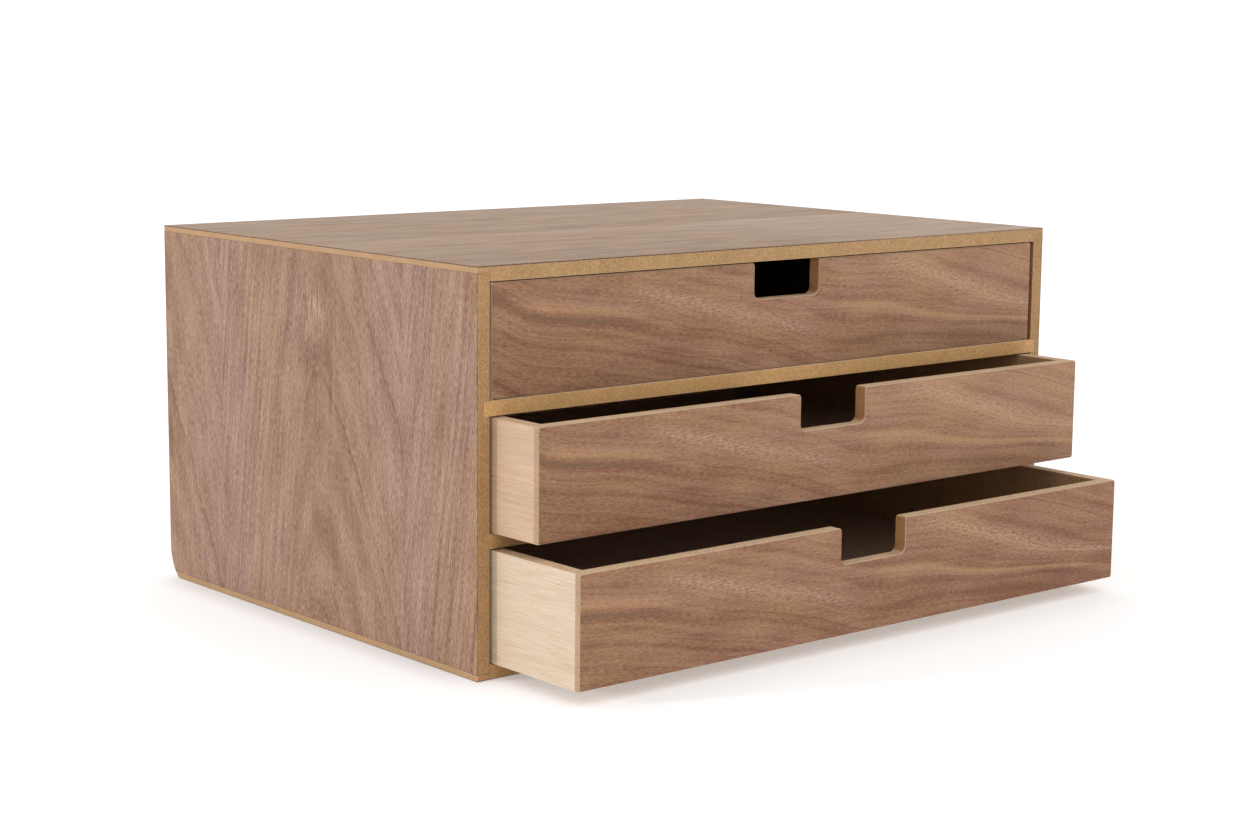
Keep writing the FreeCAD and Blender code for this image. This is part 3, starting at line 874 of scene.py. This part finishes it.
rosy = sums(tree, "SUBTRACT", grade(tree, from_back, *ROSY_FROM_BACK), sheen_front_right)
wood = finish_walnut(
    tree, top_shader, x, from_back, ring, TOP_RING_GAP, TOP_SEED,
    leaf_tones=TOP_TONES, figure=TOP_FIGURE, rosy=rosy, lift=lift,
)
dots = grade(tree, clouds(tree, x, y, DOTS), *DOT_EDGE)
dots = sums(tree, "MULTIPLY", dots, grade(tree, x, *DOTS_FADE))
on_edge = sums(tree, "MULTIPLY", grade(tree, facing(tree, "Z"), *TRIMMED_TURN, 1.0, 0.0), dots)
plug(tree, tones(tree, on_edge, wood, TRIMMED_EDGE), top_shader.inputs["Base Color"])
dress(boards["top_veneer"], top_finish)
print("top_veneer in leaves of", TOP_LEAF_WIDTH, "mm")

# %% [markdown]
# ## Fibreboard
# The boards are wood fibre pressed with glue. A sawn edge is golden and finely speckled, with no grain
# direction at all. The pressed faces have a duller tone. Edges that look left or right take a darker
# tone, partly painted shade, and the walls of the finger notches are darker and more golden, partly as
# painted shade in the notch. Faces could be given materials one by one, but which way a face looks
# already tells a sawn edge from a pressed face, so one finish serves a whole board.

# %% Make the fibreboard finish
FIBRE_SIZE = 0.9
FIBRE_DETAIL = 3.0
CLOUD_SIZE = 14.0
CLOUD_DETAIL = 2.0
CLOUD_STRENGTH = 0.25
FIBRE_EDGE = (0.2, 0.8)
FACE_TURN = (0.6, 0.9)
SIDE_TURN = (0.5, 0.9)
PALE_FIBRE = tone(236, 218, 184)
PALE_FIBRE_SIZE = 0.8
PALE_FIBRE_DETAIL = 0.0
PALE_FIBRE_EDGE = (0.7, 0.8, 0.0, 0.3)
NOTCH_HALF = 28.0
BOARD_ROUGHNESS = (0.85, 0.7)
BOARD_FUZZ_DEPTH = 0.00008
FUZZ_STRENGTH = 0.5


def speckle(tree, size, detail):
    """Noise without direction, in grains of about that size in millimetres."""
    spot = tree.nodes.new("ShaderNodeTexCoord")
    noise = tree.nodes.new("ShaderNodeTexNoise")
    noise.inputs["Scale"].default_value = MILLIMETRES / size
    noise.inputs["Detail"].default_value = detail
    tree.links.new(spot.outputs["Object"], noise.inputs["Vector"])
    return noise.outputs[0]


def finish_fibreboard(name, flat_axis, sawn, pressed, laps=None, routed=None):
    """The finish of a board that lies flat across the axis, from dark and light tones.

    Edges that look left or right may have their own darker tones, partly painted shade, and then so may
    the walls of a notch.
    """
    material, tree, shader = new_material(name)
    fuzz = speckle(tree, FIBRE_SIZE, FIBRE_DETAIL)
    cloudy = centred(tree, speckle(tree, CLOUD_SIZE, CLOUD_DETAIL), CLOUD_STRENGTH, fuzz)
    share = grade(tree, cloudy, *FIBRE_EDGE)
    on_face = grade(tree, facing(tree, flat_axis), *FACE_TURN)
    colour = tones(tree, on_face, tones(tree, share, *sawn), tones(tree, share, *pressed))
    pale = grade(tree, speckle(tree, PALE_FIBRE_SIZE, PALE_FIBRE_DETAIL), *PALE_FIBRE_EDGE)
    colour = tones(tree, pale, colour, PALE_FIBRE)
    if laps:
        # Faces that look left or right: a darker tone, partly painted shade
        sideways = grade(tree, facing(tree, "X"), *SIDE_TURN)
        colour = tones(tree, sideways, colour, tones(tree, share, *laps))
    if routed:
        x, y, z = place_in_millimetres(tree)
        # The notch walls: partly painted shade in the notch, with a more golden tone
        in_notch = grade(tree, sums(tree, "ABSOLUTE", x), NOTCH_HALF, 2 * NOTCH_HALF, 1.0, 0.0)
        in_notch = sums(tree, "MULTIPLY", in_notch, sideways)
        colour = tones(tree, in_notch, colour, tones(tree, share, *routed))
    plug(tree, colour, shader.inputs["Base Color"])
    plug(tree, grade(tree, fuzz, *FIBRE_EDGE, *BOARD_ROUGHNESS), shader.inputs["Roughness"])
    roughen(tree, shader, fuzz, BOARD_FUZZ_DEPTH, FUZZ_STRENGTH)
    return material


print("fibres of", FIBRE_SIZE, "mm, in clouds of", CLOUD_SIZE, "mm")

# %% [markdown]
# ## Rubbed edges
# A rubbed edge that lies open is pale, sanded, with a painted highlight where it catches light. On the
# box, one that lies against another board is dark with glue, and at the front, low down, the joint of
# the bottom panel is not quite closed, and the shade in its gap is painted there nearly black. The
# joints could be drawn as lines, but then every joint would need its own. Here the colour asks how much
# of the space around the edge is free, which finds all the joints by itself.

# %% Make the rubbed edges
GLUE = tone(110, 78, 48)
JOINT_REACH = 0.001
JOINT_SAMPLES = 8
FREE_SPACE = (0.85, 1.0)
# Painted shade for the gap of the bottom panel's open joint
OPEN_JOINT_SHADE = tone(46, 27, 12)
OPEN_JOINT_HEIGHT = (9.2, 9.7)
OPEN_JOINT_FRONT = (-172.0, -165.0)
RUB_SIZE = 1.5
RUB_DETAIL = 2.0
RUBBED_ROUGHNESS = (0.8, 0.6)
RUB_DEPTH = 0.00005


def joint_colour(tree, open_colour):
    """Darkens an edge where another board lies close to it, and paints shade into the bottom's open
    joint.
    """
    space = tree.nodes.new("ShaderNodeAmbientOcclusion")
    space.samples = JOINT_SAMPLES
    space.inputs["Distance"].default_value = JOINT_REACH
    free = grade(tree, space.outputs["AO"], *FREE_SPACE)
    x, y, z = place_in_millimetres(tree)
    low_down = grade(tree, z, *OPEN_JOINT_HEIGHT, 1.0, 0.0)
    in_front = grade(tree, y, *OPEN_JOINT_FRONT, 1.0, 0.0)
    glue_and_gap_shade = tones(tree, sums(tree, "MULTIPLY", low_down, in_front), GLUE, OPEN_JOINT_SHADE)
    return tones(tree, free, glue_and_gap_shade, open_colour)


def finish_rubbed_highlit_edge(name, dark, pale, glued):
    """The finish of a rubbed edge, pale with a painted highlight, dark in the joints where it is glued.
    """
    material, tree, shader = new_material(name)
    fuzz = speckle(tree, RUB_SIZE, RUB_DETAIL)
    colour = tones(tree, fuzz, dark, pale)
    if glued:
        colour = joint_colour(tree, colour)
    plug(tree, colour, shader.inputs["Base Color"])
    plug(tree, grade(tree, fuzz, *FIBRE_EDGE, *RUBBED_ROUGHNESS), shader.inputs["Roughness"])
    roughen(tree, shader, fuzz, RUB_DEPTH, FUZZ_STRENGTH)
    return material


rubbed_highlit_box = finish_rubbed_highlit_edge("rubbed_highlit_box_edge", tone(184, 147, 104), tone(219, 184, 139), True)
rubbed_highlit_drawer = finish_rubbed_highlit_edge("rubbed_highlit_drawer_edge", tone(178, 148, 116), tone(210, 180, 148), False)
print("made", rubbed_highlit_box.name, "and", rubbed_highlit_drawer.name)

# %% [markdown]
# ## Boards from different sheets
# Every board takes the colour of its own sheet, which is how the joints can be read: the dividers and
# the top stand out against the sides. The lower divider is darker than the upper one, which is painted
# shade, as it sits in the shadow of the drawers. One material for all would melt them together, and one
# for each board would be many, so there is one for each kind of board.

# %% Finish the fibreboard
BOX_PRESSED = (tone(184, 160, 138), tone(216, 191, 167))
BOX_LAPS_SHADED = (tone(147, 115, 79), tone(180, 143, 105))
SIDE_PRESSED = (tone(125, 88, 63), tone(150, 109, 80))
DRAWER_SAWN = (tone(172, 141, 108), tone(220, 188, 152))
DRAWER_LAPS_SHADED = (tone(146, 119, 91), tone(178, 149, 119))
DRAWER_PRESSED = (tone(136, 103, 70), tone(178, 141, 102))
ROUTED_IN_SHADE = (tone(136, 94, 55), tone(173, 129, 82))
THIN_BACK = (tone(172, 138, 106), tone(204, 170, 136))
THIN_FLOOR = (tone(178, 154, 132), tone(206, 181, 157))
# The flat axis of each kind of board, its sawn and its pressed tones, and those of its laps and notch,
# which hold painted shade in part
SHEETS = {
    "side_panel": ("X", (tone(146, 108, 68), tone(182, 142, 94)), SIDE_PRESSED),
    "top_panel": ("Z", (tone(152, 115, 74), tone(188, 150, 103)), BOX_PRESSED, BOX_LAPS_SHADED),
    "bottom_panel": ("Z", (tone(154, 115, 73), tone(190, 150, 101)), BOX_PRESSED, BOX_LAPS_SHADED),
    "upper_divider": ("Z", (tone(176, 132, 80), tone(212, 168, 110)), BOX_PRESSED),
    # The lower divider's darker tones are painted shade from the drawers around it
    "lower_divider": ("Z", (tone(158, 118, 73), tone(192, 150, 99)), BOX_PRESSED),
    "back_panel": ("Y", THIN_BACK, THIN_BACK),
    "drawer_front": ("Y", DRAWER_SAWN, BOX_PRESSED, DRAWER_LAPS_SHADED, ROUTED_IN_SHADE),
    "drawer_left_side": ("X", DRAWER_SAWN, DRAWER_PRESSED),
    "drawer_right_side": ("X", DRAWER_SAWN, DRAWER_PRESSED),
    "drawer_back": ("Y", DRAWER_SAWN, BOX_PRESSED),
    "drawer_floor": ("Z", THIN_FLOOR, THIN_FLOOR),
}

for kind, sheet in SHEETS.items():
    finish = finish_fibreboard(f"fibreboard_{kind}", *sheet)
    rubbed = rubbed_highlit_drawer if kind.startswith("drawer") else rubbed_highlit_box
    cut = [name for name in boards if name.endswith(kind)]
    for name in cut:
        dress(boards[name], finish, rubbed)
    print(kind, "on", len(cut), "boards")

# %% [markdown]
# ## Pale leaf
# The drawers' sides wear a pale leaf with a quiet, fine grain that runs front to back, and short dashes
# where its pores are cut. The walnut finish could be bleached for it, but this leaf has no rings to
# speak of, so three layers of grain are enough. Each drawer's leaf has its own warmth.

# %% Finish the drawer sides
PALE_TONES = {
    "top": (tone(182, 155, 127), tone(203, 179, 152)),
    "middle": (tone(172, 141, 115), tone(198, 168, 140)),
    "bottom": (tone(185, 163, 139), tone(210, 190, 167)),
}
PALE_FIBRES = Grain(18.0, 0.5, seed=0.5, detail=3.0)
PALE_BANDS = Grain(160.0, 12.0, seed=4.5)
PALE_BAND_STRENGTH = 0.5
PALE_EDGE = (0.1, 0.9)
DASHES = Grain(9.0, 0.5, seed=8.5)
DASH_EDGE = (0.55, 0.75, 0.0, 0.45)
DASH = tone(172, 128, 92)
PALE_ROUGHNESS = (0.3, 0.7, 0.7, 0.58)
PALE_DEPTH = 0.00005
PALE_RELIEF = 0.5

for seed, (drawer, (dark, light)) in enumerate(PALE_TONES.items()):
    material, tree, shader = new_material(f"pale_{drawer}_sides")
    x, y, z = place_in_millimetres(tree)
    fibres = clouds(tree, y, z, PALE_FIBRES, seed)
    share = centred(tree, clouds(tree, y, z, PALE_BANDS, seed), PALE_BAND_STRENGTH, fibres)
    colour = tones(tree, grade(tree, share, *PALE_EDGE), dark, light)
    dashes = grade(tree, clouds(tree, y, z, DASHES, seed), *DASH_EDGE)
    plug(tree, tones(tree, dashes, colour, DASH), shader.inputs["Base Color"])
    plug(tree, grade(tree, fibres, *PALE_ROUGHNESS), shader.inputs["Roughness"])
    roughen(tree, shader, fibres, PALE_DEPTH, PALE_RELIEF)
    for side in ("left", "right"):
        dress(boards[f"{drawer}_drawer_{side}_side_veneer"], material)
    print(drawer, "drawer sides in pale leaf")
